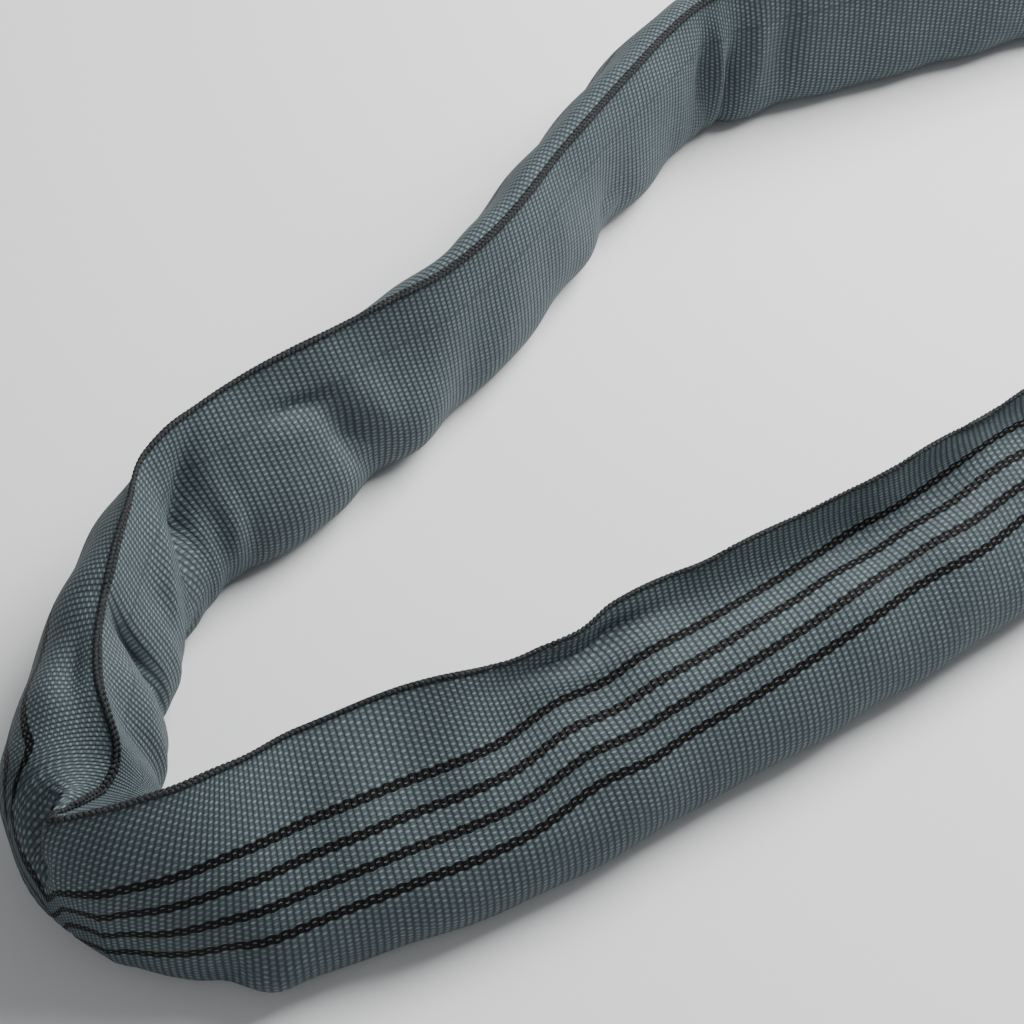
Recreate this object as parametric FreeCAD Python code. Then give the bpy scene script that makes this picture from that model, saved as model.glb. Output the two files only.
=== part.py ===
import FreeCAD, Part
import math
import os

from FreeCAD import Vector

# Endless round sling, standing on its edge on a flat surface. Millimetres, +Z up.
# Origin: middle of the loop's bounding box, at the height of the surface it stands on.
# The long way of the loop lies along X. The sleeve's outer (striped) face looks away from the loop's inside.

# ---- driving dimensions -------------------------------------------------------------------------
SLEEVE_WALL = 1.2            # thickness of the woven sleeve
BODY_RADIUS = 17.0           # round lower part of the sleeve, filled by the core
BASE_HALF_WIDTH = 6.0        # half of the flat strip that the sleeve rests on
FLANGE_HEIGHT = 60.0         # top of the sleeve, where its two faces meet at the selvedge
FLANGE_LEAN = 12.0           # how far the top leans over the loop's inside
FLANGE_TIP_RADIUS = 1.7      # outer radius of the folded top
SMALLEST_TIP = 0.3           # tip radius inside the layers that lie deeper than that

SELVEDGE_THICKNESS = 0.9     # knitted edge thread, standing on the folded top

STRIPE_WIDTH = 3.1           # four black warp ends
STRIPE_DEPTH = 0.35
STRIPE_FIRST = 20.0          # from the selvedge to the middle of the first stripe, along the cloth
STRIPE_PITCH = 8.0
STRIPE_COUNT = 4

YARN_RADIUS = 4.5            # one bundle of turns of the core yarn
YARN_PITCH = 9.1             # middle to middle
YARN_RING_COUNT = 6          # bundles round the middle one
YARN_ENDS_X = 60.0           # where the yarn's first and last ends meet, on the straight run
YARN_END_GAP = 0.5

TAPE_THICKNESS = 0.4         # tape that holds the yarn's first and last ends on the hank
TAPE_WIDTH = 40.0
TAPE_CLEARANCE = 0.4

LAP_LENGTH = 80.0            # length of the sleeve's end that is tucked inside the other end
LAP_GAP = 0.6                # room between the two layers, for the label's root
LAP_RAMP = 15.0              # length over which the tucked end widens to the full sleeve
HEM_X = 25.0                 # where the outer end of the sleeve stops, on the straight run
CLOSURE_Y = -83.0            # the core's middle line on the straight run

SEAM_OFFSETS = (4.0, 9.0, 72.0)   # rows of closing stitches, behind the hem
SEAM_WIDTH = 0.9
SEAM_HEIGHT = 0.4
SEAM_CLEARANCE = 0.3         # between a row's top end and the selvedge thread

LABEL_WIDTH = 36.0           # across the sleeve
LABEL_LENGTH = 86.0          # free leaf, along the sleeve
LABEL_ROOT = 14.0            # sewn-in strip under the hem
LABEL_THICKNESS = 0.5
LABEL_GAP = 1.6              # between the leaf and the sleeve, which bends a little towards it
LABEL_HEM_GAP = 0.5          # between the leaf's crease and the hem
LABEL_TOP = 3.0              # from the top of the flat outer face to the label's upper edge

# The core's middle line, anticlockwise from the closure, seen from above.
ROUTE = (
    (180, -84.5), (265, -82), (345, -72), (407, -51), (447, -15),
    (458.9, 30), (441, 73), (395, 103), (330, 116), (235, 118),
    (150, 110), (55, 99), (-50, 101), (-126, 110), (-156, 113.5),
    (-178, 115), (-197.5, 106.5), (-220.5, 92.5), (-256, 71), (-289, 47.5),
    (-329, 34), (-367, 19), (-399, 10), (-424, -11), (-438, -29),
    (-451.5, -50.5), (-457.5, -76), (-446, -98), (-424, -109.5), (-394, -114.5),
    (-356, -117.5), (-316, -112), (-276, -108.5), (-236, -104), (-204, -98),
    (-166, -91), (-121, -85), (-71, -83),
)
CORNER_SHARE = 0.45          # share of the shorter run that each rounded corner takes

UP = Vector(0, 0, 1)


# ---- the route ----------------------------------------------------------------------------------
def rounded(points):
    """Straight runs joined by tangent arcs through a list of corner points."""
    edges = []
    reached = points[0]
    for before, corner, after in zip(points, points[1:], points[2:]):
        arriving = (corner - before).normalize()
        leaving = (after - corner).normalize()
        turn = arriving.getAngle(leaving)
        setback = CORNER_SHARE * min((corner - before).Length, (after - corner).Length)
        arc_start = corner - arriving * setback
        arc_end = corner + leaving * setback
        radius = setback / math.tan(turn / 2)
        middle_gap = radius / math.cos(turn / 2) - radius
        towards_centre = (leaving - arriving).normalize()
        arc_middle = corner + towards_centre * middle_gap
        edges.append(Part.LineSegment(reached, arc_start).toShape())
        edges.append(Part.Arc(arc_start, arc_middle, arc_end).toShape())
        reached = arc_end
    edges.append(Part.LineSegment(reached, points[-1]).toShape())
    return edges


def route_edges(start_x, end_x):
    """The route from start_x on the straight run, all the way round, to end_x on the same run."""
    closure = Vector(HEM_X, CLOSURE_Y, 0)
    edges = rounded([closure] + [Vector(x, y, 0) for x, y in ROUTE] + [closure])
    first_bend = edges[0].Vertexes[-1].Point
    last_bend = edges[-1].Vertexes[0].Point
    edges[0] = Part.LineSegment(Vector(start_x, CLOSURE_Y, 0), first_bend).toShape()
    edges[-1] = Part.LineSegment(last_bend, Vector(end_x, CLOSURE_Y, 0)).toShape()
    return edges


# ---- the sleeve's cross-section -----------------------------------------------------------------
# Drawn in local (inward, up) coordinates about the core's middle line, where inward points to the
# inside of the loop. On the straight run the local frame is the row's own (Y, Z).
BODY_HEIGHT = math.sqrt(BODY_RADIUS ** 2 - BASE_HALF_WIDTH ** 2)
TIP_HEIGHT = FLANGE_HEIGHT - FLANGE_TIP_RADIUS - SELVEDGE_THICKNESS
TIP_SPAN = math.hypot(FLANGE_LEAN, TIP_HEIGHT - BODY_HEIGHT)
TIP_BEARING = math.atan2(TIP_HEIGHT - BODY_HEIGHT, FLANGE_LEAN)
TANGENT_TURN = math.acos((BODY_RADIUS - FLANGE_TIP_RADIUS) / TIP_SPAN)
OUTER_BEARING = TIP_BEARING + TANGENT_TURN      # direction of the flat outer face's normal
INNER_BEARING = TIP_BEARING - TANGENT_TURN      # direction of the flat inner face's normal
FACE_LENGTH = math.sqrt(TIP_SPAN ** 2 - (BODY_RADIUS - FLANGE_TIP_RADIUS) ** 2)
TIP_ARC = FLANGE_TIP_RADIUS * TANGENT_TURN      # cloth from the very top to the flat outer face


def polar(centre, radius, bearing):
    """A point of the section at that bearing from a centre."""
    return (centre[0] + radius * math.cos(bearing), centre[1] + radius * math.sin(bearing))


BODY_CENTRE = (0.0, BODY_HEIGHT)
TIP_CENTRE = (FLANGE_LEAN, TIP_HEIGHT)


def place(point, along):
    """A section point as a point in space, on the straight run at X = along."""
    return Vector(along, CLOSURE_Y + point[0], point[1])


def line(a, b, along):
    return Part.LineSegment(place(a, along), place(b, along)).toShape()


def arc(centre, radius, start, end, along):
    """An arc of the section between two bearings."""
    points = [polar(centre, radius, b) for b in (start, (start + end) / 2, end)]
    return Part.Arc(*[place(p, along) for p in points]).toShape()


def outline(inset, along):
    """The sleeve's section outline, drawn in by inset, as a closed wire."""
    body = BODY_RADIUS - inset
    tip = max(FLANGE_TIP_RADIUS - inset, SMALLEST_TIP)
    tip_span = TIP_SPAN * (body - tip) / (BODY_RADIUS - FLANGE_TIP_RADIUS)
    tip_centre = polar(BODY_CENTRE, tip_span, TIP_BEARING)
    base_half = math.sqrt(body ** 2 - (BODY_HEIGHT - inset) ** 2)
    base_dip = math.atan2(BODY_HEIGHT - inset, base_half)
    outer_top = polar(tip_centre, tip, OUTER_BEARING)
    outer_low = polar(BODY_CENTRE, body, OUTER_BEARING)
    inner_top = polar(tip_centre, tip, INNER_BEARING)
    inner_low = polar(BODY_CENTRE, body, INNER_BEARING)
    edges = [
        arc(tip_centre, tip, INNER_BEARING, OUTER_BEARING, along),
        line(outer_top, outer_low, along),
        arc(BODY_CENTRE, body, OUTER_BEARING, math.pi + base_dip, along),
        line((-base_half, inset), (base_half, inset), along),
        arc(BODY_CENTRE, body, -base_dip, INNER_BEARING, along),
        line(inner_low, inner_top, along),
    ]
    return Part.Wire(Part.__sortEdges__(edges))


def outer_point(cloth, inset):
    """The point of the outer face that far along the cloth from the top, drawn in by inset."""
    if cloth <= TIP_ARC + FACE_LENGTH:
        top = polar(TIP_CENTRE, FLANGE_TIP_RADIUS - inset, OUTER_BEARING)
        low = polar(BODY_CENTRE, BODY_RADIUS - inset, OUTER_BEARING)
        share = (cloth - TIP_ARC) / FACE_LENGTH
        return (top[0] + share * (low[0] - top[0]), top[1] + share * (low[1] - top[1]))
    turned = (cloth - TIP_ARC - FACE_LENGTH) / BODY_RADIUS
    return polar(BODY_CENTRE, BODY_RADIUS - inset, OUTER_BEARING + turned)


def strip(first, last, deep, proud, along):
    """A strip of the outer face between two distances along the cloth, as a closed wire."""
    def side(inset):
        points = [outer_point(c, inset) for c in (first, (first + last) / 2, last)]
        if first >= TIP_ARC + FACE_LENGTH:
            return Part.Arc(*[place(p, along) for p in points]).toShape()
        return line(points[0], points[2], along)
    edges = [
        side(proud),
        line(outer_point(last, proud), outer_point(last, deep), along),
        side(deep),
        line(outer_point(first, deep), outer_point(first, proud), along),
    ]
    return Part.Wire(Part.__sortEdges__(edges))


def stripe_wire(number, along):
    middle = STRIPE_FIRST + number * STRIPE_PITCH
    return strip(middle - STRIPE_WIDTH / 2, middle + STRIPE_WIDTH / 2, STRIPE_DEPTH, 0.0, along)


# ---- sweeping and saving ------------------------------------------------------------------------
def swept(wire, edges):
    """A solid that follows the route with that section, kept upright."""
    pipe = Part.BRepOffsetAPI.MakePipeShell(Part.Wire(edges))
    pipe.setBiNormalMode(UP)
    pipe.add(wire)
    pipe.build()
    pipe.makeSolid()
    solid = Part.Solid(pipe.shape())
    if solid.Volume < 0:
        solid.reverse()
    return solid


def prism(wire, length):
    """A section wire on the straight run, carried that far along X."""
    return Part.Face(wire).extrude(Vector(length, 0, 0))


def prism_box(along, low, high, length):
    """A box over a rectangle of the section, carried that far along X."""
    size = Vector(length, high[0] - low[0], high[1] - low[1])
    return Part.makeBox(size.x, size.y, size.z, place(low, along))


def save(name, shape):
    shape.exportStep(os.path.join("parts", name + ".step"))
    print(name, "valid", shape.isValid(), "solids", len(shape.Solids), "volume", round(shape.Volume))


# ---- the pieces ---------------------------------------------------------------------------------
def sleeve():
    """One length of woven tube. Its first end is tucked inside its last end at the closure."""
    ramp_end = HEM_X + LAP_RAMP
    main_route = route_edges(ramp_end, HEM_X)
    face = Part.Face(outline(0.0, ramp_end))
    for number in range(STRIPE_COUNT):
        face = face.cut(Part.Face(stripe_wire(number, ramp_end))).Faces[0]
    tube = swept(face.OuterWire, main_route).cut(swept(outline(SLEEVE_WALL, ramp_end), main_route))
    tucked = SLEEVE_WALL + LAP_GAP
    ramp_outside = Part.makeLoft([outline(tucked, HEM_X), outline(0.0, ramp_end)], True, True)
    ramp_inside = Part.makeLoft(
        [outline(tucked + SLEEVE_WALL, HEM_X), outline(SLEEVE_WALL, ramp_end)], True, True)
    lap_start = HEM_X - LAP_LENGTH
    lap = prism(outline(tucked, lap_start), LAP_LENGTH)
    lap = lap.cut(prism(outline(tucked + SLEEVE_WALL, lap_start), LAP_LENGTH))
    return tube.fuse([ramp_outside.cut(ramp_inside), lap]).removeSplitter()


def stripe(number):
    """Four black warp ends, woven in with the sleeve's outer face."""
    ramp_end = HEM_X + LAP_RAMP
    return swept(stripe_wire(number, ramp_end), route_edges(ramp_end, HEM_X))


def selvedge_wire(along):
    low = FLANGE_TIP_RADIUS
    high = FLANGE_TIP_RADIUS + SELVEDGE_THICKNESS
    outer_high = polar(TIP_CENTRE, high, OUTER_BEARING)
    outer_low = polar(TIP_CENTRE, low, OUTER_BEARING)
    inner_high = polar(TIP_CENTRE, high, INNER_BEARING)
    inner_low = polar(TIP_CENTRE, low, INNER_BEARING)
    edges = [
        arc(TIP_CENTRE, high, INNER_BEARING, OUTER_BEARING, along),
        line(outer_high, outer_low, along),
        arc(TIP_CENTRE, low, INNER_BEARING, OUTER_BEARING, along),
        line(inner_low, inner_high, along),
    ]
    return Part.Wire(Part.__sortEdges__(edges))


def selvedge_thread():
    """The dark knitted thread that closes the tube's weave along its top edge."""
    ramp_end = HEM_X + LAP_RAMP
    return swept(selvedge_wire(ramp_end), route_edges(ramp_end, HEM_X))


def yarn_centres():
    centres = [BODY_CENTRE]
    for number in range(YARN_RING_COUNT):
        centres.append(polar(BODY_CENTRE, YARN_PITCH, number * 2 * math.pi / YARN_RING_COUNT))
    return centres


def core_yarn(centre):
    """One bundle of turns of the polyester yarn, from its first end round to its last, under the tape."""
    ring = Part.Circle(place(centre, YARN_ENDS_X), Vector(1, 0, 0), YARN_RADIUS).toShape()
    return swept(Part.Wire([ring]), route_edges(YARN_ENDS_X, YARN_ENDS_X - YARN_END_GAP))


def core_end_tape():
    """A turn of tape round the whole hank, over the yarn's two ends."""
    hank_radius = YARN_PITCH + YARN_RADIUS + TAPE_CLEARANCE
    start = place(BODY_CENTRE, YARN_ENDS_X - TAPE_WIDTH / 2)
    outside = Part.makeCylinder(hank_radius + TAPE_THICKNESS, TAPE_WIDTH, start, Vector(1, 0, 0))
    inside = Part.makeCylinder(hank_radius, TAPE_WIDTH, start, Vector(1, 0, 0))
    return outside.cut(inside)


def closure_seam(offset):
    """A row of closing stitches, drawn as one thread down each face, clear of the selvedge."""
    along = HEM_X - offset - SEAM_WIDTH / 2
    ring = prism(outline(-SEAM_HEIGHT, along), SEAM_WIDTH)
    ring = ring.cut(prism(outline(0.0, along), SEAM_WIDTH))
    base = prism_box(along, (-BODY_RADIUS, -BODY_RADIUS), (BODY_RADIUS, 0.0), SEAM_WIDTH)
    top_radius = FLANGE_TIP_RADIUS + SELVEDGE_THICKNESS + SEAM_CLEARANCE
    top = Part.makeCylinder(top_radius, SEAM_WIDTH, place(TIP_CENTRE, along), Vector(1, 0, 0))
    return ring.cut(base).cut(top)


def label_edges():
    """Where the label starts and stops across the sleeve, along the cloth."""
    return TIP_ARC + LABEL_TOP, TIP_ARC + LABEL_TOP + LABEL_WIDTH


def label_root():
    """The label's sewn-in strip, between the sleeve's two layers."""
    first, last = label_edges()
    inset = SLEEVE_WALL + (LAP_GAP - LABEL_THICKNESS) / 2
    along = HEM_X - LABEL_ROOT
    return prism(strip(first, last, inset + LABEL_THICKNESS, inset, along), LABEL_ROOT)


def label_leaf():
    """The label's free leaf, lying along the outer face in front of the hem."""
    first, last = label_edges()
    along = HEM_X + LABEL_HEM_GAP
    far_side = -(LABEL_GAP + LABEL_THICKNESS)
    return prism(strip(first, last, -LABEL_GAP, far_side, along), LABEL_LENGTH)


def main():
    os.makedirs("parts", exist_ok=True)
    print("length of the core's middle line", round(Part.Wire(route_edges(HEM_X, HEM_X)).Length))
    save("sleeve", sleeve())
    for number in range(STRIPE_COUNT):
        save("stripe_%d" % (number + 1), stripe(number))
    save("selvedge_thread", selvedge_thread())
    for number, centre in enumerate(yarn_centres()):
        save("core_yarn_%d" % (number + 1), core_yarn(centre))
    save("core_end_tape", core_end_tape())
    for number, offset in enumerate(SEAM_OFFSETS):
        save("closure_seam_%d" % (number + 1), closure_seam(offset))
    save("label_root", label_root())
    save("label_leaf", label_leaf())


main()
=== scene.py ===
import math

import bpy
import numpy as np
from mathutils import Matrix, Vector


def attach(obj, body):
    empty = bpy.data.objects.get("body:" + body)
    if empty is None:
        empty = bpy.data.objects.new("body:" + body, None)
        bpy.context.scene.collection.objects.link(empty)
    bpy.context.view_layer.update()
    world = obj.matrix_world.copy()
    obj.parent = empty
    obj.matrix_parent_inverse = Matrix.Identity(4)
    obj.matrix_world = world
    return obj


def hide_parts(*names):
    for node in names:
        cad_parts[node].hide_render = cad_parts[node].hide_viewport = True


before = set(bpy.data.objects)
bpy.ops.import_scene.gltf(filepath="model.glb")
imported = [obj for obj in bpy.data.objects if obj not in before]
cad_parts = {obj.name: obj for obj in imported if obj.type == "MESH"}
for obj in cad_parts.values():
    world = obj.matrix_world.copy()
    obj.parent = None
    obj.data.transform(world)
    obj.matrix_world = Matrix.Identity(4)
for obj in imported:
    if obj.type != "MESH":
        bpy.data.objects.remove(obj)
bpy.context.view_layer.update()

# Visual model of an endless round sling that stands on its edge, in metres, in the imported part's frame.
MM = 0.001

# ---- driving dimensions -------------------------------------------------------------------------
STATIONS = 1000                  # mesh rows along the sleeve
COLUMNS = 96                     # mesh columns round the sleeve
CORNER_SAMPLES = 60              # points on the curve at each corner of the route
SMOOTHING_ROUNDS = 12            # of the route, and of the count of picks
SECTION_SAMPLES = 400            # points on a section before they are spaced along the cloth

SLEEVE_ROUND = 150.0 * MM        # cloth round the tube, twice its flat width
CORE_BUNDLES = 7
CORE_UP = 15.9 * MM              # the core's middle line over the floor
CORE_CLEAR = 14.3 * MM           # the cloth stays this far from it
SIDE_LOW = 8.0 * MM              # heights of the section's fullest places
SIDE_HIGH = 22.0 * MM
EDGE_FLAT = 2.0 * MM             # the outer face starts straight, this far from the edge
SLIDE_START = 20.0 * MM          # cloth over which a slide sets in, from the top edge
SLIDE_END = 60.0 * MM

ENDS_ROUND = 208                 # warp ends round the tube
PICK_LENGTH = 1.9 * MM           # from one weft pick to the next
WEAVE_RELIEF = 0.26 * MM
STRIPE_MIDDLES = (20.0, 28.0, 36.0, 44.0)   # along the cloth from the top edge, in millimetres
STRIPE_SWAY = -0.32              # how far a stripe's outline steps from side to side, in warp ends
STRIPE_HALF_WIDTH = (1.55, 1.8)  # its soft edge, in warp ends
DASH_SWAY = -0.55                # the same for the weft that shows in it
DASH_HALF_WIDTH = (0.12, 0.34)
MARKER_END = 187                 # one darker warp end on the inner face

SLACK_SEED = 11
SLACK_WAVES = 26                 # soft waves over the whole sleeve
SLACK_TURNS = (20, 75)           # fewest waves in the loop, and one more than the most
SLACK_HEIGHT = 0.10 * MM
BEND_FOLDS = 170                 # cross folds in the loop, which show on the inside of a bend
BEND_FOLD_HEIGHT = 0.8 * MM
TIGHT_BEND = 18.0                # bend, in radians a metre, at which they are full height
TUCK_DEPTH = 1.8 * MM            # how far the tucked end lies inside the hem
TUCK_RAMP = 15.0 * MM
HEM_THICKNESS = 0.5 * MM
HEM_WIDTH = 8.0 * MM

SELVEDGE_STITCH = 1.45 * MM      # from one stitch to the next, in each of the two rows
SELVEDGE_APART = 0.50 * MM       # each row's distance from the edge
SELVEDGE_SLANT = 0.45            # sideways for each length forward
SELVEDGE_PROUD = 0.2 * MM
SELVEDGE_STITCH_LENGTH = 2.0 * MM
SELVEDGE_RADIUS = 0.70 * MM
SEAM_ROWS = (4.45, 9.45, 72.45)  # closing stitches, behind the hem, in millimetres
SEAM_FACES = ((5, 58), (92, 145))   # cloth that each row crosses, in millimetres from the top edge
SEAM_STITCH = 3.4                # from one stitch to the next, in millimetres
SEAM_STITCH_LENGTH = SEAM_STITCH * 0.82 * MM
SEAM_PROUD = 0.15 * MM
SEAM_RADIUS = 0.42 * MM

LABEL_WIDTH = 36.0 * MM
LABEL_LENGTH = 86.0 * MM
LABEL_THICKNESS = 0.5 * MM
LABEL_ROWS = 40                  # mesh rows along the leaf
LABEL_COLUMNS = 18               # mesh columns across the label
LABEL_START = 25.5               # along X, where the leaf's crease is
LABEL_LIFT = 1.85                # the leaf's middle over the sleeve's outer face, millimetres
LABEL_TOP_EDGE = np.array([-74.12, 56.02]) * MM   # upper edge on that face, as Y and Z
LABEL_DOWN = np.array([-0.6, -0.8])
LABEL_OUT = np.array([-0.8, 0.6])
LABEL_ROOT_PROFILE = ((11, -1.2), (14, -1.2), (18, -1.25), (22, -1.2), (24.3, -1.1), (24.9, -0.6),
                      (25.15, 0.2), (25.3, 1.0), (25.45, 1.7))   # along X, and out from the face
LABEL_STITCH = 2.6 * MM          # from one hemming stitch to the next
LABEL_STITCH_LENGTH = LABEL_STITCH * 0.75
LABEL_STITCH_RADIUS = 0.28 * MM
LABEL_HEM = 2.2 * MM             # from the leaf's edge to its stitches
LABEL_YARN = 0.3 * MM
LABEL_LINE = 5.0 * MM            # from one ruled line to the next
LABEL_FORM_MIDDLE = 0.46 * LABEL_LENGTH
LABEL_FORM_HALF_LENGTH = 34.0 * MM
LABEL_FORM_HALF_WIDTH = 12.5 * MM

# Colours, linear. Pairs are the dark and the light of one material.
# Painted shade: the first colour darkens the gaps between threads; it also serves for darker fibres and the
# one darker warp end.
CLOTH_GAP_SHADE_AND_DARK_YARN = (0.036, 0.048, 0.054, 1)
# The weft and the warp floats are one grey yarn: the weft colour is painted darker as painted shade, and
# the pair after it, the warp floats' own random tone, sits lighter as painted highlight.
CLOTH_WEFT = (0.066, 0.086, 0.094, 1)
CLOTH_DARK = (0.110, 0.142, 0.155, 1)
CLOTH_LIGHT = (0.145, 0.185, 0.198, 1)
# Painted highlight: glints on single warp floats, also used for paler fibres.
CLOTH_GLINT_AND_PALE_FIBRE = (0.200, 0.250, 0.264, 1)
# Painted shade: the first stripe colour darkens the gaps between picks, and the second is the threads' own
# black.
STRIPE_GAP_SHADE = (0.0015, 0.0013, 0.0013, 1)
STRIPE_BLACK = (0.006, 0.0055, 0.0055, 1)
WEFT_IN_STRIPE = (0.125, 0.140, 0.145, 1)
SELVEDGE_BLACKS = ((0.008, 0.009, 0.010, 1), (0.035, 0.038, 0.04, 1))
SEAM_BLACKS = ((0.006, 0.006, 0.007, 1), (0.03, 0.03, 0.033, 1))
YARN_WHITES = ((0.55, 0.54, 0.50, 1), (0.83, 0.82, 0.78, 1))
TAPE_BUFFS = ((0.50, 0.45, 0.32, 1), (0.66, 0.61, 0.47, 1))
LABEL_BLUES = ((0.010, 0.040, 0.150, 1), (0.018, 0.062, 0.210, 1))
LABEL_GLINT = (0.035, 0.095, 0.270, 1)
LABEL_RULE = (0.50, 0.56, 0.62, 1)
LABEL_THREAD_BLUES = ((0.02, 0.06, 0.16, 1), (0.10, 0.19, 0.36, 1))
FLOOR_WHITES = ((0.80, 0.80, 0.80, 1), (0.83, 0.83, 0.83, 1))
SKY_COLOUR = (0.93, 0.96, 1, 1)

# Light: watts, then places and sizes in metres.
SKY_STRENGTH = 0.25
KEY_LIGHT = ("key", 25.5, (0.38, 0.12, 0.74), 0.7)
FILL_LIGHT = ("fill", 2.8, (-1.2, -0.8, 0.7), 1.2)
LIGHTS_AIM = (-0.25, 0, 0)
FLOOR_SIZE = 40

# The corners of the core's middle line, in millimetres, as in the part's source.
ROUTE = (
    (25, -83), (180, -84.5), (265, -82), (345, -72), (407, -51), (447, -15),
    (458.9, 30), (441, 73), (395, 103), (330, 116), (235, 118),
    (150, 110), (55, 99), (-50, 101), (-126, 110), (-156, 113.5),
    (-178, 115), (-197.5, 106.5), (-220.5, 92.5), (-256, 71), (-289, 47.5),
    (-329, 34), (-367, 19), (-399, 10), (-424, -11), (-438, -29),
    (-451.5, -50.5), (-457.5, -76), (-446, -98), (-424, -109.5), (-394, -114.5),
    (-356, -117.5), (-316, -112), (-276, -108.5), (-236, -104), (-204, -98),
    (-166, -91), (-121, -85), (-71, -83),
)


# ---- camera, floor and light --------------------------------------------------------------------
def make_camera():
    """Looks down on the loop's left half from its front left."""
    target = Vector((-306, -11, 0)) * MM
    distance = 743 * MM
    elevation = math.radians(50)
    heading = math.radians(28)
    look = Vector((math.sin(heading) * math.cos(elevation),
                   math.cos(heading) * math.cos(elevation), -math.sin(elevation)))
    data = bpy.data.cameras.new("camera")
    data.lens = 91.4
    data.sensor_width = 36
    camera = bpy.data.objects.new("camera", data)
    camera.location = target - look * distance
    camera.rotation_euler = look.to_track_quat("-Z", "Y").to_euler()
    bpy.context.scene.collection.objects.link(camera)
    bpy.context.scene.camera = camera
    return camera


# ---- the sleeve's shape -------------------------------------------------------------------------
def smooth_route():
    """Evenly spaced stations on the smooth closed line, with distance from the hem."""
    corners = np.array(ROUTE, float) * MM
    before = (np.roll(corners, 1, 0) + corners) / 2
    after = (np.roll(corners, -1, 0) + corners) / 2
    share = np.linspace(0, 1, CORNER_SAMPLES, endpoint=False)[None, :, None]
    curve = ((1 - share) ** 2 * before[:, None] + 2 * share * (1 - share) * corners[:, None]
             + share ** 2 * after[:, None])
    line = curve.reshape(-1, 2)
    line = np.roll(line, -int(np.argmin(np.linalg.norm(line - corners[0], axis=1))), 0)
    closed = np.vstack([line, line[:1]])
    reach = np.concatenate([[0], np.cumsum(np.linalg.norm(np.diff(closed, axis=0), axis=1))])
    at = np.arange(STATIONS) * reach[-1] / STATIONS
    xy = np.stack([np.interp(at, reach, closed[:, k]) for k in (0, 1)], 1)
    for _ in range(SMOOTHING_ROUNDS):
        xy = (np.roll(xy, 1, 0) + 2 * xy + np.roll(xy, -1, 0)) / 4
    return xy, at, reach[-1]


def directions(xy):
    """Unit vectors along the route, and square to it towards the inside of the loop."""
    along = np.roll(xy, -1, 0) - np.roll(xy, 1, 0)
    along /= np.linalg.norm(along, axis=1)[:, None]
    inward = np.stack([-along[:, 1], along[:, 0]], 1)
    return along, inward


def keyed(at, keys, column):
    """A smooth closed curve through one column of the keys, with no overshoot."""
    x = np.array([k[0] for k in keys], float) * MM
    y = np.array([k[column] for k in keys], float)
    total = at[-1] + at[1]
    x = np.concatenate([x[-2:] - total, x, x[:2] + total])
    y = np.concatenate([y[-2:], y, y[:2]])
    rise = np.diff(y) / np.diff(x)
    agree = rise[1:] * rise[:-1] > 0
    total_rise = np.where(agree, rise[1:] + rise[:-1], 1)
    slope = np.concatenate([[0], np.where(agree, 2 * rise[1:] * rise[:-1] / total_rise, 0), [0]])
    i = np.clip(np.searchsorted(x, at) - 1, 0, len(x) - 2)
    h = x[i + 1] - x[i]
    t = (at - x[i]) / h
    return ((2 * t ** 3 - 3 * t ** 2 + 1) * y[i] + (t ** 3 - 2 * t ** 2 + t) * h * slope[i]
            + (-2 * t ** 3 + 3 * t ** 2) * y[i + 1] + (t ** 3 - t ** 2) * h * slope[i + 1])


def bspline_basis(count, samples):
    """Clamped cubic B-spline weights: samples rows, one column for each control point."""
    knots = np.concatenate([[0] * 3, np.arange(count - 2), [count - 3] * 3]).astype(float)
    u = np.linspace(0, count - 3 - 1e-9, samples)
    basis = ((u[:, None] >= knots[None, :-1]) & (u[:, None] < knots[None, 1:])).astype(float)
    for degree in (1, 2, 3):
        left = knots[degree:-1] - knots[:-degree - 1]
        right = knots[degree + 1:] - knots[1:-degree]
        a = np.where(left > 0, (u[:, None] - knots[None, :-degree - 1]) / np.where(left > 0, left, 1), 0)
        b = np.where(right > 0, (knots[None, degree + 1:] - u[:, None]) / np.where(right > 0, right, 1), 0)
        basis = a * basis[:, :-1] + b * basis[:, 1:]
    return basis


# The section along the sleeve, in millimetres: (distance from the hem, inward, up) for the points of
# its cage, or (distance, inward) for its sides. Inward is towards the inside of the loop.
TIP = (
    (0, 12, 59), (110, 12, 59), (200, 13, 57), (450, 10, 57), (700, 14, 56), (1000, 12, 56),
    (1150, 12, 56), (1215, 10.5, 56), (1300, 9, 56), (1342, 2, 57), (1380, -5, 57),
    (1407, -4.5, 57), (1425, 1, 57), (1450, 5, 57), (1472, 6.8, 57), (1484, 8.2, 57),
    (1491, 9.6, 54), (1497, 10.5, 48), (1501, 9, 43), (1506, 4, 41), (1510, -4, 46),
    (1514, -14.5, 55), (1518, -8.5, 56.5), (1522, -3, 57), (1527, 3, 57), (1534, 9, 56),
    (1550, 18, 55), (1572, 26.5, 52.5), (1600, 29.5, 52), (1625, 26, 52), (1642, 24, 52),
    (1655, 22, 52), (1668, 24.5, 52), (1700, 22.5, 52), (1790, 17.5, 52), (1900, 12, 59),
    (1960, 12, 59))
OUTER_UPPER = (
    (0, 3, 48), (110, 3, 48), (200, 4, 46), (450, 1, 45), (700, 5, 46), (1000, 4, 46),
    (1150, 5, 56), (1215, 4, 57), (1300, 3, 57.5), (1322, 1, 53), (1345, -5, 50), (1380, -7, 49),
    (1407, -7, 49), (1425, -5, 52), (1450, -3, 55), (1470, -1, 57), (1485, -2, 58),
    (1496, -4, 56.5), (1504, -7, 57), (1510, -8, 61), (1514, -19, 49), (1521, -13, 49),
    (1550, 6, 46), (1572, 11, 43), (1600, 14, 42), (1640, 17, 38), (1665, 19, 40), (1700, 19, 36),
    (1750, 17, 31), (1790, 15, 42), (1900, 3, 48), (1960, 3, 48))
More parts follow.
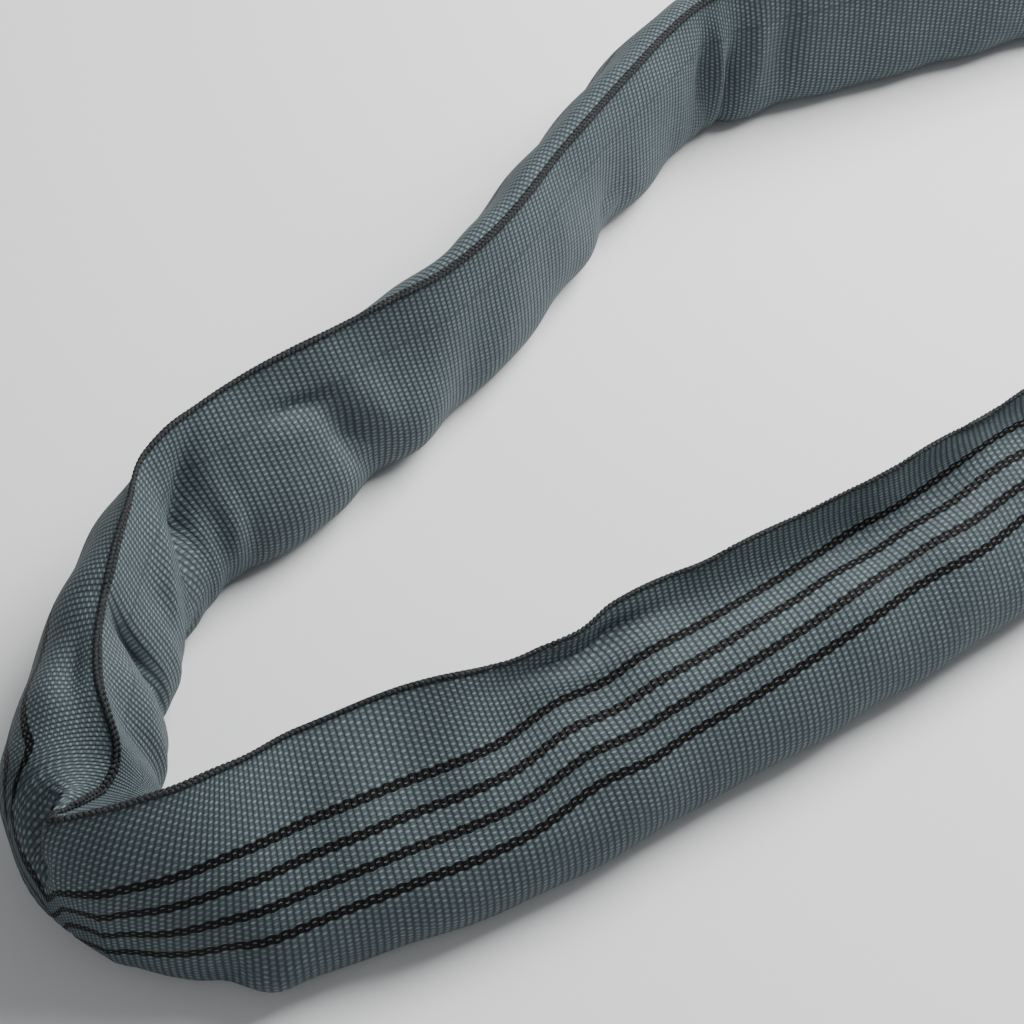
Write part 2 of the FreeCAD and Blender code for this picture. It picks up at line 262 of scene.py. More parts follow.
OUTER_CREST = (
    (0, -7, 35.5), (110, -7, 35.5), (450, -9, 36), (700, -7, 36), (1000, -8, 36), (1150, -6, 42),
    (1300, -6, 42), (1342, -11, 42), (1380, -11, 40), (1425, -13, 40), (1450, -12, 44),
    (1485, -16, 46), (1498, -21, 47), (1509, -21, 34), (1550, -8, 34), (1600, -1, 32),
    (1640, -1, 37), (1700, 1, 42), (1750, 1, 44), (1790, 1, 40), (1900, -7, 35.5),
    (1960, -7, 35.5))
OUTER_SIDE = (
    (0, 16), (1000, 16), (1120, 15), (1200, 13.5), (1300, 13.5), (1380, 17), (1440, 15),
    (1470, 15.5), (1490, 19), (1505, 18.5), (1518, 16), (1530, 14), (1542, 13.8), (1556, 15.5),
    (1575, 14.5), (1610, 14), (1700, 15), (1850, 16))
INNER_SIDE = (
    (0, 16), (1000, 16), (1195, 15), (1208, 14.5), (1223, 12.5), (1240, 15), (1299, 14.4),
    (1326, 17), (1341, 15.2), (1351, 15.8), (1359, 16.8), (1370, 17.4), (1390, 13.6),
    (1412, 12.5), (1425, 14), (1480, 17), (1600, 16))
# How far the cloth has slid down the outer face, so that its stripes wander.
CLOTH_SLIDE = (
    (0, 0), (300, 2), (450, -3), (700, 2), (1000, 0), (1478, 0), (1494, 0), (1499, 5), (1503, 18),
    (1507, 23), (1511, 19), (1517, 6), (1528, 5), (1550, 2), (1600, 2), (1620, 0), (1645, -4.5),
    (1668, -3.5), (1710, -5), (1740, -7), (1763, -8), (1790, -12), (1850, -6), (1920, 0))
# Folds and dents: distance from the hem, cloth from the top edge, half length, half width, turn of the
# long way from the sleeve's own direction in degrees, height (outward positive). Millimetres.
FOLDS = (
    (1361, 134, 9, 2.4, 14, -2.6),       # pinch on the far leg's inner face
    (1366, 127, 10, 4.0, 14, 0.9),       # lip below the pinch
    (1350, 116, 5.0, 15, -20, -4.0),     # valley that runs down from the pinch
    (1338, 118, 6, 15, -20, 1.8),        # ridge beside that valley
    (1413, 117, 24, 4.2, 126, -7.6),     # crease beside the bight
    (1425, 127, 15, 5, 128, 2.4),        # ridges on both sides of the crease
    (1395, 112, 16, 7, 128, 2.4),
    (1474, 127, 9, 18, 4, 4.6),          # flap above the bight
    (1456, 122, 3.2, 18, 4, -8.0),       # cleft beside the flap
    (1510, 12, 3.3, 4.2, 0, -12.0),      # pocket in the fold of the bight
    (1478, 7, 11, 4.4, 0, -3.6),         # hollow beside the edge above the bight
    (1525, 36, 2.5, 24, 0, 1.3),         # kink across the stripes
    (1656, 8.5, 19, 2.8, 3, -4.5),       # valley under the selvedge of the near leg
    (1662, 16, 22, 5.0, 3, 2.0),         # roll below that valley
    (1556, 58, 6, 8, 0, 2.8),            # bump low on the near leg
    (1547, 54, 3, 9, 10, -2.0),          # dent beside the bump
    (1168, 122, 4, 16, 5, -2.6),         # cross folds beyond the second bend
    (1158, 122, 3.5, 18, 5, 2.2),
    (1149, 120, 3.5, 18, 5, -3.2),
    (1139, 120, 4, 18, 5, 2.6),
    (1128, 120, 4, 16, 0, -2.0),
)
# How far the inner face stands out from its straight line, in millimetres, by distance from the hem.
INNER_SWELL = ((0, 3), (1100, 3), (1300, 1), (1400, 0), (1480, 0), (1550, 2), (1700, 2))


def section_points(at):
    """The sleeve's section at each station, as (inward, up) points evenly spaced along the cloth."""
    tip, tip_up = (keyed(at, TIP, k) * MM for k in (1, 2))
    upper, upper_up = (keyed(at, OUTER_UPPER, k) * MM for k in (1, 2))
    crest, crest_up = (keyed(at, OUTER_CREST, k) * MM for k in (1, 2))
    outer = keyed(at, OUTER_SIDE, 1) * MM
    inner = keyed(at, INNER_SIDE, 1) * MM
    swell = keyed(at, INNER_SWELL, 1) * MM
    low = np.full(len(at), SIDE_LOW)
    high = np.full(len(at), SIDE_HIGH)
    floor = np.zeros(len(at))
    face = np.hypot(upper - tip, upper_up - tip_up)
    cage = [
        (tip, tip_up),
        (tip + EDGE_FLAT * (upper - tip) / face, tip_up + EDGE_FLAT * (upper_up - tip_up) / face),
        (upper, upper_up),
        (crest, crest_up),
        (-1.1 * outer, high),
        (-1.12 * outer, low),
        (-0.68 * outer, floor),
        (0 * outer, floor),
        (0.75 * inner, floor),
        (1.12 * inner, low),
        (1.1 * inner, high),
        (tip + 0.6 * (inner - tip) + swell, tip_up - 0.6 * (tip_up - high)),
        (tip + 0.3 * (inner - tip) + swell, tip_up - 0.3 * (tip_up - high)),
        (tip + 0.05 * (inner - tip), tip_up - 0.05 * (tip_up - high)),
        (tip, tip_up),
    ]
    control = np.array(cage).transpose(2, 0, 1)
    dense = np.einsum("ij,kjl->kil", bspline_basis(len(cage), SECTION_SAMPLES), control)
    steps = np.linalg.norm(np.diff(dense, axis=1), axis=2)
    reach = np.concatenate([np.zeros((len(at), 1)), np.cumsum(steps, axis=1)], 1)
    slide = keyed(at, CLOTH_SLIDE, 1) * MM
    cloth = np.arange(COLUMNS) / COLUMNS * SLEEVE_ROUND
    grip = np.clip(np.minimum(cloth / SLIDE_START, (SLEEVE_ROUND - cloth) / SLIDE_END), 0, 1)
    section = np.empty((len(at), COLUMNS, 2))
    for k in range(len(at)):
        wanted = (cloth + slide[k] * grip) / SLEEVE_ROUND * reach[k, -1]
        for axis in (0, 1):
            section[k, :, axis] = np.interp(wanted, reach[k], dense[k, :, axis])
    return section


# ---- folds --------------------------------------------------------------------------------------
def between(value, span):
    """The value brought into half a span either side of nothing."""
    return (value + span / 2) % span - span / 2


def fold_height(at, cloth, total):
    """How far the cloth stands off its plain shape, outward positive."""
    height = np.zeros((len(at), len(cloth)))
    for where, across, half_long, half_wide, turn, rise in FOLDS:
        ds = between(at[:, None] - where * MM, total)
        dc = between(cloth[None, :] - across * MM, SLEEVE_ROUND)
        turn = math.radians(turn)
        u = (ds * math.cos(turn) + dc * math.sin(turn)) / (half_long * MM)
        v = (dc * math.cos(turn) - ds * math.sin(turn)) / (half_wide * MM)
        height += rise * MM * np.exp(-np.abs(u) ** 2 - np.abs(v) ** 1.7)
    return height


def slack_height(at, cloth, total, bend):
    """Soft waves all over, and small cross folds where the inside of a bend is pressed together."""
    rng = np.random.default_rng(SLACK_SEED)
    s = at[:, None] / total * 2 * math.pi
    c = cloth[None, :] / SLEEVE_ROUND * 2 * math.pi
    height = np.zeros((len(at), len(cloth)))
    for _ in range(SLACK_WAVES):
        turns = rng.integers(*SLACK_TURNS)
        rounds = rng.integers(-3, 4)
        height += SLACK_HEIGHT * np.cos(turns * s + rounds * c + rng.uniform(0, 2 * math.pi))
    fold = np.sin(BEND_FOLDS * s + 1.5 * np.sin(9 * s) + 0.6 * np.sin(2 * c + 5 * s))
    inner = np.clip(np.sin(c + math.pi), 0, 1) ** 2
    tight = np.clip(bend / TIGHT_BEND, 0, 1)[:, None]
    return height + BEND_FOLD_HEIGHT * fold * inner * tight


def hem_height(at, total):
    """The sleeve's outer end laps over its tucked end at the hem, and thickens behind it."""
    behind = total - at
    tucked = -TUCK_DEPTH * np.clip(1 - at / TUCK_RAMP, 0, 1)
    turned_under = HEM_THICKNESS * np.clip(1.5 - behind / HEM_WIDTH, 0, 1)
    return tucked + turned_under


# ---- meshes -------------------------------------------------------------------------------------
def new_piece(name, points, faces):
    mesh = bpy.data.meshes.new(name)
    mesh.from_pydata(np.asarray(points).tolist(), [], [tuple(f) for f in faces])
    mesh.polygons.foreach_set("use_smooth", [True] * len(mesh.polygons))
    mesh.update()
    piece = bpy.data.objects.new(name, mesh)
    bpy.context.scene.collection.objects.link(piece)
    return piece


def grid_faces(rows, columns, closed_rows, closed_columns):
    """Four-sided faces over a grid of points, which may join up with itself either way."""
    index = np.arange(rows * columns).reshape(rows, columns)
    if closed_rows:
        index = np.vstack([index, index[:1]])
    if closed_columns:
        index = np.hstack([index, index[:, :1]])
    corners = [index[:-1, :-1], index[:-1, 1:], index[1:, 1:], index[1:, :-1]]
    return np.stack(corners, 2).reshape(-1, 4).tolist()


def attribute(piece, name, values):
    """One number for each point, for the piece's material to read."""
    layer = piece.data.attributes.new(name, "FLOAT", "POINT")
    layer.data.foreach_set("value", np.asarray(values, np.float32).ravel())


class Surface:
    """The sleeve's outer surface, with its stations, normals and places found by cloth distance."""

    def __init__(self):
        xy, self.at, self.total = smooth_route()
        along, inward = directions(xy)
        turning = np.cross(along, np.roll(along, -3, 0)) / (3 * self.at[1])
        section = section_points(self.at)
        self.cloth = np.arange(COLUMNS) / COLUMNS * SLEEVE_ROUND
        points = np.empty(section.shape[:2] + (3,))
        points[..., :2] = xy[:, None] + inward[:, None] * section[..., :1]
        points[..., 2] = section[..., 1]
        self.points = points
        self.picks = self.count_picks()
        height = fold_height(self.at, self.cloth, self.total)
        height += slack_height(self.at, self.cloth, self.total, turning)
        height += hem_height(self.at, self.total)[:, None]
        self.points = points + self.normals() * height[..., None]
        core = np.column_stack([xy, np.full(STATIONS, CORE_UP)])[:, None]
        away = self.points - core
        away *= np.maximum(1, CORE_CLEAR / np.linalg.norm(away, axis=2))[..., None]
        self.points = core + away
        self.points[..., 2] = np.maximum(self.points[..., 2], 0)

    def count_picks(self):
        """Weft picks passed by each station: the cloth keeps its length on the outside of a bend."""
        steps = np.linalg.norm(np.roll(self.points, -1, 0) - self.points, axis=2)
        natural = np.percentile(steps, 85, axis=1)   # nearly the longest step: cloth can't shrink
        for _ in range(SMOOTHING_ROUNDS):
            natural = (np.roll(natural, 1) + natural + np.roll(natural, -1)) / 3
        reach = np.concatenate([[0], np.cumsum(natural)])
        even_count = 2 * round(reach[-1] / PICK_LENGTH / 2)
        return reach / reach[-1] * even_count

    def normals(self):
        down = np.roll(self.points, -1, 1) - np.roll(self.points, 1, 1)
        forward = np.roll(self.points, -1, 0) - np.roll(self.points, 1, 0)
        normal = np.cross(down, forward)
        return normal / np.linalg.norm(normal, axis=2)[..., None]

    def place(self, at, cloth):
        """Points, outward normals and forward directions at distances along and round the cloth."""
        row = np.asarray(at) / self.total * STATIONS
        column = np.asarray(cloth) / SLEEVE_ROUND * COLUMNS
        i, j = np.floor(row).astype(int), np.floor(column).astype(int)
        u, v = (row - i)[..., None], (column - j)[..., None]
        forward = np.roll(self.points, -1, 0) - self.points
        forward /= np.linalg.norm(forward, axis=2)[..., None]
        found = []
        for table in (self.points, self.normals(), forward):
            near = table[i % STATIONS, j % COLUMNS] * (1 - u) + table[(i + 1) % STATIONS, j % COLUMNS] * u
            far = (table[i % STATIONS, (j + 1) % COLUMNS] * (1 - u)
                   + table[(i + 1) % STATIONS, (j + 1) % COLUMNS] * u)
            found.append(near * (1 - v) + far * v)
        return found


def make_sleeve(surface):
    """The woven tube, as one closed mesh."""
    faces = grid_faces(STATIONS, COLUMNS, True, True)
    piece = new_piece("sleeve_cloth", surface.points.reshape(-1, 3), faces)
    weave_coordinates(piece, surface)
    return piece


def weave_coordinates(piece, surface):
    """Each face's own corner values, so that the count of picks and ends is right across the joins."""
    picks = surface.picks
    ends = np.arange(COLUMNS + 1) / COLUMNS * ENDS_ROUND
    p0, e0 = np.meshgrid(picks[:-1], ends[:-1], indexing="ij")
    p1, e1 = np.meshgrid(picks[1:], ends[1:], indexing="ij")
    corner_picks = np.stack([p0, p0, p1, p1], 2)
    corner_ends = np.stack([e0, e1, e1, e0], 2)
    for name, values in (("weave_pick", corner_picks), ("weave_end", corner_ends)):
        layer = piece.data.attributes.new(name, "FLOAT", "CORNER")
        layer.data.foreach_set("value", values.ravel().astype(np.float32))


def beads(name, centres, long_way, up, length, radius, sides=6):
    """Many small stitches in one mesh: each a rounded rod along its own long way."""
    side_way = np.cross(up, long_way)
    side_way /= np.linalg.norm(side_way, axis=1)[:, None]
    rings = ((-0.5, 0.0), (-0.42, 0.62), (-0.2, 1.0), (0.2, 1.0), (0.42, 0.62), (0.5, 0.0))
    points = []
    for share, fat in rings[1:-1]:
        for k in range(sides):
            bearing = 2 * math.pi * k / sides
            offset = side_way * math.cos(bearing) + up * math.sin(bearing)
            points.append(centres + long_way * share * length + offset * fat * radius)
    points.append(centres + long_way * rings[0][0] * length)
    points.append(centres + long_way * rings[-1][0] * length)
    count = len(points)
    faces = []
    for ring in range(3):
        for k in range(sides):
            a, b = ring * sides + k, ring * sides + (k + 1) % sides
            faces.append((a, b, b + sides, a + sides))
    faces += [(4 * sides, (k + 1) % sides, k) for k in range(sides)]
    faces += [(4 * sides + 1, 3 * sides + k, 3 * sides + (k + 1) % sides) for k in range(sides)]
    every = np.stack(points, 1).reshape(-1, 3)
    all_faces = [tuple(n * count + v for v in face) for n in range(len(centres)) for face in faces]
    return new_piece(name, every, all_faces)


def make_selvedge(surface):
    """The knitted edge: two rows of slanted stitches astride the sleeve's top edge."""
    edge = surface.points[:, 0]
    steps = np.linalg.norm(np.roll(edge, -1, 0) - edge, axis=1)
    reach = np.concatenate([[0], np.cumsum(steps)])
    count = int(reach[-1] / SELVEDGE_STITCH)
    stations = np.append(surface.at, surface.total)
    centres, ways, ups = [], [], []
    for row, side in enumerate((1, -1)):
        wanted = (np.arange(count) + 0.25 + row / 2) / count * reach[-1]
        at = np.interp(wanted, reach, stations)
        point, normal, forward = surface.place(at, np.full(count, side * SELVEDGE_APART % SLEEVE_ROUND))
        way = forward + np.cross(forward, normal) * side * SELVEDGE_SLANT
        centres.append(point + normal * SELVEDGE_PROUD)
        ways.append(way / np.linalg.norm(way, axis=1)[:, None])
        ups.append(normal)
    return beads("selvedge_knit", np.vstack(centres), np.vstack(ways), np.vstack(ups),
                 SELVEDGE_STITCH_LENGTH, SELVEDGE_RADIUS)


def make_closure(surface):
    """Rows of closing stitches down both faces, behind the hem."""
    centres, ways, ups = [], [], []
    for row in SEAM_ROWS:
        for first, last in SEAM_FACES:
            count = int((last - first) / SEAM_STITCH)
            cloth = (first + (np.arange(count) + 0.5) * SEAM_STITCH) * MM
            point, normal, forward = surface.place(np.full(count, surface.total - row * MM), cloth)
            centres.append(point + normal * SEAM_PROUD)
            ways.append(np.cross(forward, normal))
            ups.append(normal)
    return beads("closure_stitches", np.vstack(centres), np.vstack(ways), np.vstack(ups),
                 SEAM_STITCH_LENGTH, SEAM_RADIUS)


def thin_sheet(name, middle, out, thickness):
    """A closed sheet about a grid of middle points: both faces and the rim."""
    rows, columns = middle.shape[:2]
    count = rows * columns
    points = np.vstack([(middle + out * side * thickness / 2).reshape(-1, 3) for side in (1, -1)])
    front = grid_faces(rows, columns, False, False)
    back = [tuple(count + v for v in reversed(face)) for face in front]
    index = np.arange(count).reshape(rows, columns)
    rim = np.concatenate([index[0, :-1], index[:-1, -1], index[-1, :0:-1], index[:0:-1, 0]]).tolist()
    walls = [(b, a, a + count, b + count) for a, b in zip(rim, rim[1:] + rim[:1])]
    return new_piece(name, points, front + back + walls)


def label_points(profile, waves):
    """Label cloth as a grid: the profile's (along, out) points, drawn down the sleeve's outer face."""
    profile = np.array(profile) * MM
    across = np.linspace(0, LABEL_WIDTH, LABEL_COLUMNS + 1)
    middle = np.empty((len(profile), len(across), 3))
    lift = profile[:, 1:] + np.zeros((1, len(across)))
    if waves:
        share = (profile[:, :1] - profile[0, 0]) / LABEL_LENGTH
        lift = lift + 0.5 * MM * share * np.sin(5 * share + 9 * across[None, :] / LABEL_WIDTH)
        lift = lift + 0.25 * MM * share * np.cos(17 * share)
    middle[..., 0] = profile[:, :1]
    middle[..., 1:] = LABEL_TOP_EDGE + across[None, :, None] * LABEL_DOWN + lift[..., None] * LABEL_OUT
    return middle


def label_sheet(name, profile, middle):
    """A sheet of label cloth that knows how far along and across the label each point is."""
    piece = thin_sheet(name, middle, np.array([0, *LABEL_OUT]), LABEL_THICKNESS)
    along = np.array(profile)[:, 0] * MM - LABEL_START * MM
    across = np.linspace(0, LABEL_WIDTH, LABEL_COLUMNS + 1)
    attribute(piece, "label_along", np.tile(np.repeat(along, len(across)), 2))
    attribute(piece, "label_across", np.tile(np.tile(across, len(along)), 2))
    return piece


def label_hem(middle):
    """Hemming stitches along the leaf's three free edges, on its outer side."""
    far, low = LABEL_LENGTH - LABEL_HEM, LABEL_WIDTH - LABEL_HEM
    corners = np.array([(LABEL_HEM, LABEL_HEM), (far, LABEL_HEM), (far, low), (LABEL_HEM, low)])
    centres, ways = [], []
    for first, last in zip(corners, corners[1:]):
        count = int(np.linalg.norm(last - first) / LABEL_STITCH)
        for k in range(count):
            x, y = first + (last - first) * (k + 0.5) / count
            row = round(x / LABEL_LENGTH * LABEL_ROWS)
            column = round(y / LABEL_WIDTH * LABEL_COLUMNS)
            point = middle[row, column].copy()
            point[0] = LABEL_START * MM + x
            point[1:] += LABEL_DOWN * (y - LABEL_WIDTH * column / LABEL_COLUMNS)
            point[1:] += LABEL_OUT * LABEL_THICKNESS / 2
            centres.append(point)
            ways.append((1, 0, 0) if first[1] == last[1] else (0, *LABEL_DOWN))
    return beads("label_stitches", np.array(centres), np.array(ways, float),
                 np.tile((0, *LABEL_OUT), (len(centres), 1)), LABEL_STITCH_LENGTH, LABEL_STITCH_RADIUS)


def make_label():
    """The sewn-in strip with its crease, the free leaf, and the leaf's hemming stitches."""
    root = label_sheet("label_strip", LABEL_ROOT_PROFILE, label_points(LABEL_ROOT_PROFILE, False))
    length = LABEL_LENGTH / MM
    profile = [(LABEL_START + length * k / LABEL_ROWS, LABEL_LIFT) for k in range(LABEL_ROWS + 1)]
    middle = label_points(profile, True)
    leaf = label_sheet("label_flap_cloth", profile, middle)
    return root, leaf, label_hem(middle)


# ---- materials ----------------------------------------------------------------------------------
class Nodes:
    """Short calls for building one material's node tree."""

    def __init__(self, name, roughness, sheen=0.0, specular=0.5):
        self.material = bpy.data.materials.new(name)
        self.material.use_nodes = True
        self.tree = self.material.node_tree
        self.shader = self.tree.nodes["Principled BSDF"]
        self.shader.inputs["Roughness"].default_value = roughness
        self.shader.inputs["Sheen Weight"].default_value = sheen
        self.shader.inputs["Sheen Roughness"].default_value = 0.4
        self.shader.inputs["Specular IOR Level"].default_value = specular

    def plug(self, socket, value):
        """Links another node's output to the socket, or sets the socket's own value."""
        if isinstance(value, bpy.types.NodeSocket):
            self.tree.links.new(value, socket)
        elif value is not None:
            socket.default_value = value

    def calc(self, operation, *values):
        node = self.tree.nodes.new("ShaderNodeMath")
        node.operation = operation
        for socket, value in zip(node.inputs, values):
            self.plug(socket, value)
        return node.outputs[0]

    def read(self, name):
        node = self.tree.nodes.new("ShaderNodeAttribute")
        node.attribute_name = name
        return node.outputs["Fac"]

    def mix(self, share, first, second):
        node = self.tree.nodes.new("ShaderNodeMix")
        node.data_type = "RGBA"
        self.plug(node.inputs[0], share)
        self.plug(node.inputs[6], first)
        self.plug(node.inputs[7], second)
        return node.outputs[2]

    def step(self, value, low, high, to_low=0.0, to_high=1.0):
        """A soft step between two numbers as the value goes from low to high."""
        node = self.tree.nodes.new("ShaderNodeMapRange")
        node.interpolation_type = "SMOOTHSTEP"
        for socket, number in zip(node.inputs, (value, low, high, to_low, to_high)):
            self.plug(socket, number)
        return node.outputs[0]

    def noise(self, scale, detail=2.0, vector=None):
        """Soft noise over the object's own space, or over another vector."""
        node = self.tree.nodes.new("ShaderNodeTexNoise")
        node.inputs["Scale"].default_value = scale
        node.inputs["Detail"].default_value = detail
        if vector is None:
            vector = self.tree.nodes.new("ShaderNodeTexCoord").outputs["Object"]
        self.tree.links.new(vector, node.inputs["Vector"])
        return node.outputs["Fac"]

    def vector(self, x, y, z=0.0):
        node = self.tree.nodes.new("ShaderNodeCombineXYZ")
        for socket, value in zip(node.inputs, (x, y, z)):
            self.plug(socket, value)
        return node.outputs[0]

    def wave(self, value):
        """Cosine of half turns: 1 at 0, -1 at 1."""
        return self.calc("COSINE", self.calc("MULTIPLY", value, math.pi))

    def bump(self, height, distance, strength=1.0):
        node = self.tree.nodes.new("ShaderNodeBump")
        node.inputs["Distance"].default_value = distance
        node.inputs["Strength"].default_value = strength
        self.tree.links.new(height, node.inputs["Height"])
        self.tree.links.new(node.outputs[0], self.shader.inputs["Normal"])

    def colour(self, value):
        self.plug(self.shader.inputs["Base Color"], value)


def woven_material():
    """Plain weave in slate grey with stripes of four black warp ends; painted shade in the gaps and on the
    weft, painted highlights on the warp floats.
    """
    n = Nodes("woven_sleeve", 0.62, specular=0.12)
    pick, end = n.read("weave_pick"), n.read("weave_end")
    along, across = n.wave(pick), n.wave(end)
    ridge = n.calc("ABSOLUTE", along)
    facing = n.calc("MULTIPLY", across, n.calc("SIGN", along))
    warp = n.calc("MULTIPLY", ridge, n.calc("MULTIPLY_ADD", facing, 0.5, 0.5))
    weft = n.calc("MULTIPLY", ridge, n.calc("MULTIPLY_ADD", facing, -0.5, 0.5))

    place = n.vector(n.calc("ROUND", end), n.calc("ROUND", pick))
    glint_cells = n.tree.nodes.new("ShaderNodeTexWhiteNoise")
    glint_cells.noise_dimensions = "2D"
    n.tree.links.new(place, glint_cells.inputs["Vector"])
    cloud = n.noise(14, 3)
    fibre = n.noise(1, 3, n.vector(n.calc("MULTIPLY", pick, 1.4), n.calc("MULTIPLY", end, 5.0)))

    # Painted shade: the gaps between threads are painted deep, and the weft darker than the warp floats.
    ground = n.mix(n.step(weft, 0.35, 0.9), CLOTH_GAP_SHADE_AND_DARK_YARN, CLOTH_WEFT)
    # The warp floats' colour: random tone, painted lighter than the weft as painted highlight.
    light = n.mix(n.step(cloud, 0.3, 0.7), CLOTH_DARK, CLOTH_LIGHT)
    # Painted highlight: bright glints on warp floats in random cells.
    light = n.mix(n.calc("MULTIPLY", n.step(glint_cells.outputs["Value"], 0.2, 1), 0.6), light, CLOTH_GLINT_AND_PALE_FIBRE)
    cloth = n.mix(n.step(warp, 0.22, 0.9), ground, light)
    cloth = n.mix(n.step(fibre, 0.45, 0.75, 0.0, 0.45), cloth, CLOTH_GAP_SHADE_AND_DARK_YARN)
    cloth = n.mix(n.step(fibre, 0.25, 0.5, 0.22, 0.0), cloth, CLOTH_GLINT_AND_PALE_FIBRE)
    marker = n.calc("LESS_THAN", n.calc("ABSOLUTE", n.calc("SUBTRACT", end, MARKER_END)), 0.5)
    cloth = n.mix(n.calc("MULTIPLY", marker, 0.6), cloth, CLOTH_GAP_SHADE_AND_DARK_YARN)

    chain, dash = None, None
    for middle in STRIPE_MIDDLES:
        centre = round(middle * MM / SLEEVE_ROUND * ENDS_ROUND)
        beside = n.calc("SUBTRACT", end, centre)
        outline = n.calc("ABSOLUTE", n.calc("MULTIPLY_ADD", along, STRIPE_SWAY, beside))
        middle_line = n.calc("ABSOLUTE", n.calc("MULTIPLY_ADD", along, DASH_SWAY, beside))
        inside = n.step(outline, *STRIPE_HALF_WIDTH, 1.0, 0.0)
        bar = n.step(middle_line, *DASH_HALF_WIDTH, 1.0, 0.0)
        chain = inside if chain is None else n.calc("MAXIMUM", chain, inside)
        dash = bar if dash is None else n.calc("MAXIMUM", dash, bar)
    dash = n.calc("MULTIPLY", dash, n.step(ridge, 0.55, 0.85, 0.0, 0.85))
    # Painted shade between the picks of the black stripes, lighter on the threads' crowns.
    black = n.mix(dash, n.mix(ridge, STRIPE_GAP_SHADE, STRIPE_BLACK), WEFT_IN_STRIPE)
    n.colour(n.mix(chain, cloth, black))
    relief = n.calc("MAXIMUM", n.calc("POWER", warp, 0.7), n.calc("MULTIPLY", weft, 0.6))
    thread = n.calc("MULTIPLY", ridge, n.calc("SUBTRACT", 1.0, dash))
    relief = n.calc("MULTIPLY", relief, n.calc("SUBTRACT", 1.0, chain))
    relief = n.calc("ADD", relief, n.calc("MULTIPLY", thread, chain))
    n.bump(n.calc("MULTIPLY_ADD", fibre, 0.15, relief), WEAVE_RELIEF)
    return n.material


def thread_material(name, colours, scale):
    """Twisted sewing or knitting thread: fine strands across a dark ground."""
    n = Nodes(name, 0.7, specular=0.2)
    strands = n.noise(scale, 3)
    n.colour(n.mix(n.step(strands, 0.35, 0.7), *colours))
    n.bump(strands, 0.15 * MM, 0.6)
    return n.material


def yarn_material():
    """The core's undyed yarn."""
    n = Nodes("core_yarn", 0.55, sheen=0.15)
    strands = n.noise(900, 4)
    n.colour(n.mix(n.step(strands, 0.3, 0.7), *YARN_WHITES))
    n.bump(strands, 0.4 * MM)
    return n.material


def tape_material():
    """Crinkled packing tape round the core's ends."""
    n = Nodes("hank_tape", 0.35)
    crinkle = n.noise(260, 4)
    n.colour(n.mix(crinkle, *TAPE_BUFFS))
    n.bump(crinkle, 0.2 * MM)
    return n.material


def label_material():
    """Blank blue label cloth: a fine weave, and a form of pale ruled lines with nothing written on it."""
    n = Nodes("label_cloth", 0.55, sheen=0.05, specular=0.3)
    along, across = n.read("label_along"), n.read("label_across")
    weave = n.calc("MULTIPLY", n.wave(n.calc("DIVIDE", along, LABEL_YARN)),
                   n.wave(n.calc("DIVIDE", across, LABEL_YARN)))
    cloud = n.noise(90, 3)
    blue = n.mix(cloud, *LABEL_BLUES)
    blue = n.mix(n.step(weave, 0.0, 1.0, 0.0, 0.5), blue, LABEL_GLINT)
    row = n.calc("ABSOLUTE", n.calc("SUBTRACT", n.calc("FRACT", n.calc("DIVIDE", across, LABEL_LINE)), 0.5))
    ruled = n.step(row, 0.05, 0.07, 1.0, 0.0)
    for way, middle, half in ((along, LABEL_FORM_MIDDLE, LABEL_FORM_HALF_LENGTH),
                              (across, LABEL_WIDTH / 2, LABEL_FORM_HALF_WIDTH)):
        off_middle = n.calc("ABSOLUTE", n.calc("SUBTRACT", way, middle))
        ruled = n.calc("MULTIPLY", ruled, n.calc("LESS_THAN", off_middle, half))
    worn = n.calc("MULTIPLY", ruled, n.step(n.noise(700, 3), 0.25, 0.5, 0.55, 0.95))
    n.colour(n.mix(worn, blue, LABEL_RULE))
    n.bump(weave, 0.08 * MM)
    return n.material


def floor_material():
    n = Nodes("studio_floor", 0.9, specular=0.2)
    n.colour(n.mix(n.noise(3, 2), *FLOOR_WHITES))
    return n.material


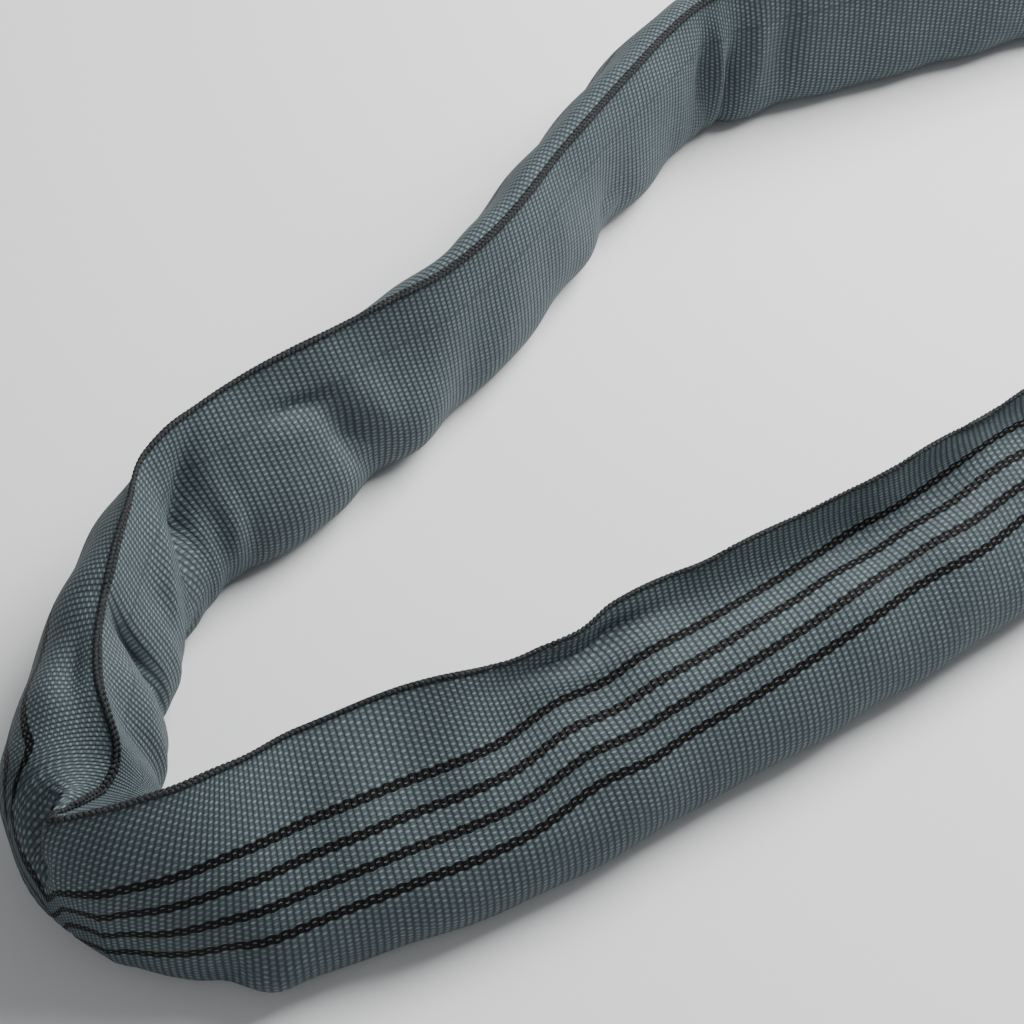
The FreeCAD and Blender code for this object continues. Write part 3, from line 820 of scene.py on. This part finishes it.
# ---- stage and main part ------------------------------------------------------------------------
def make_stage():
    """A pale floor under a soft sky, a key light from above and a weak fill from the left."""
    bpy.ops.mesh.primitive_plane_add(size=FLOOR_SIZE, location=(0, 0, 0))
    floor = bpy.context.object
    floor.name = "floor"
    floor.data.materials.append(floor_material())
    world = bpy.data.worlds.new("world")
    bpy.context.scene.world = world
    world.use_nodes = True
    background = world.node_tree.nodes["Background"]
    background.inputs["Color"].default_value = SKY_COLOUR
    background.inputs["Strength"].default_value = SKY_STRENGTH
    add_light(*KEY_LIGHT)
    add_light(*FILL_LIGHT)


def add_light(name, watts, where, size):
    data = bpy.data.lights.new(name, "AREA")
    data.energy = watts
    data.size = size
    light = bpy.data.objects.new(name, data)
    light.location = where
    light.rotation_euler = (Vector(LIGHTS_AIM) - light.location).to_track_quat("-Z", "Y").to_euler()
    bpy.context.scene.collection.objects.link(light)


def give_material(node, material):
    """Puts a material on a carried-over CAD node."""
    mesh = bpy.data.objects[node].data
    if mesh.materials:
        mesh.materials[0] = material
    else:
        mesh.materials.append(material)


make_camera()

surface = Surface()
sleeve = make_sleeve(surface)
sleeve.data.materials.append(woven_material())
selvedge = make_selvedge(surface)
selvedge.data.materials.append(thread_material("selvedge_knit", SELVEDGE_BLACKS, 1800))
closure = make_closure(surface)
closure.data.materials.append(thread_material("closure_thread", SEAM_BLACKS, 1500))
for piece in (sleeve, selvedge, closure):
    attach(piece, "sling")
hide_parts("sleeve", "stripe_1", "stripe_2", "stripe_3", "stripe_4")
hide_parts("selvedge_thread")
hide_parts("closure_seam_1", "closure_seam_2", "closure_seam_3")
core = ["core_yarn_%d" % (k + 1) for k in range(CORE_BUNDLES)]
yarn = yarn_material()
for node in core:
    give_material(node, yarn)
give_material("core_end_tape", tape_material())

label = label_material()
root, leaf, stitches = make_label()
root.data.materials.append(label)
leaf.data.materials.append(label)
stitches.data.materials.append(thread_material("label_thread", LABEL_THREAD_BLUES, 1500))
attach(root, "sling")
for piece in (leaf, stitches):
    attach(piece, "label")
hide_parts("label_root")
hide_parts("label_leaf")
make_stage()
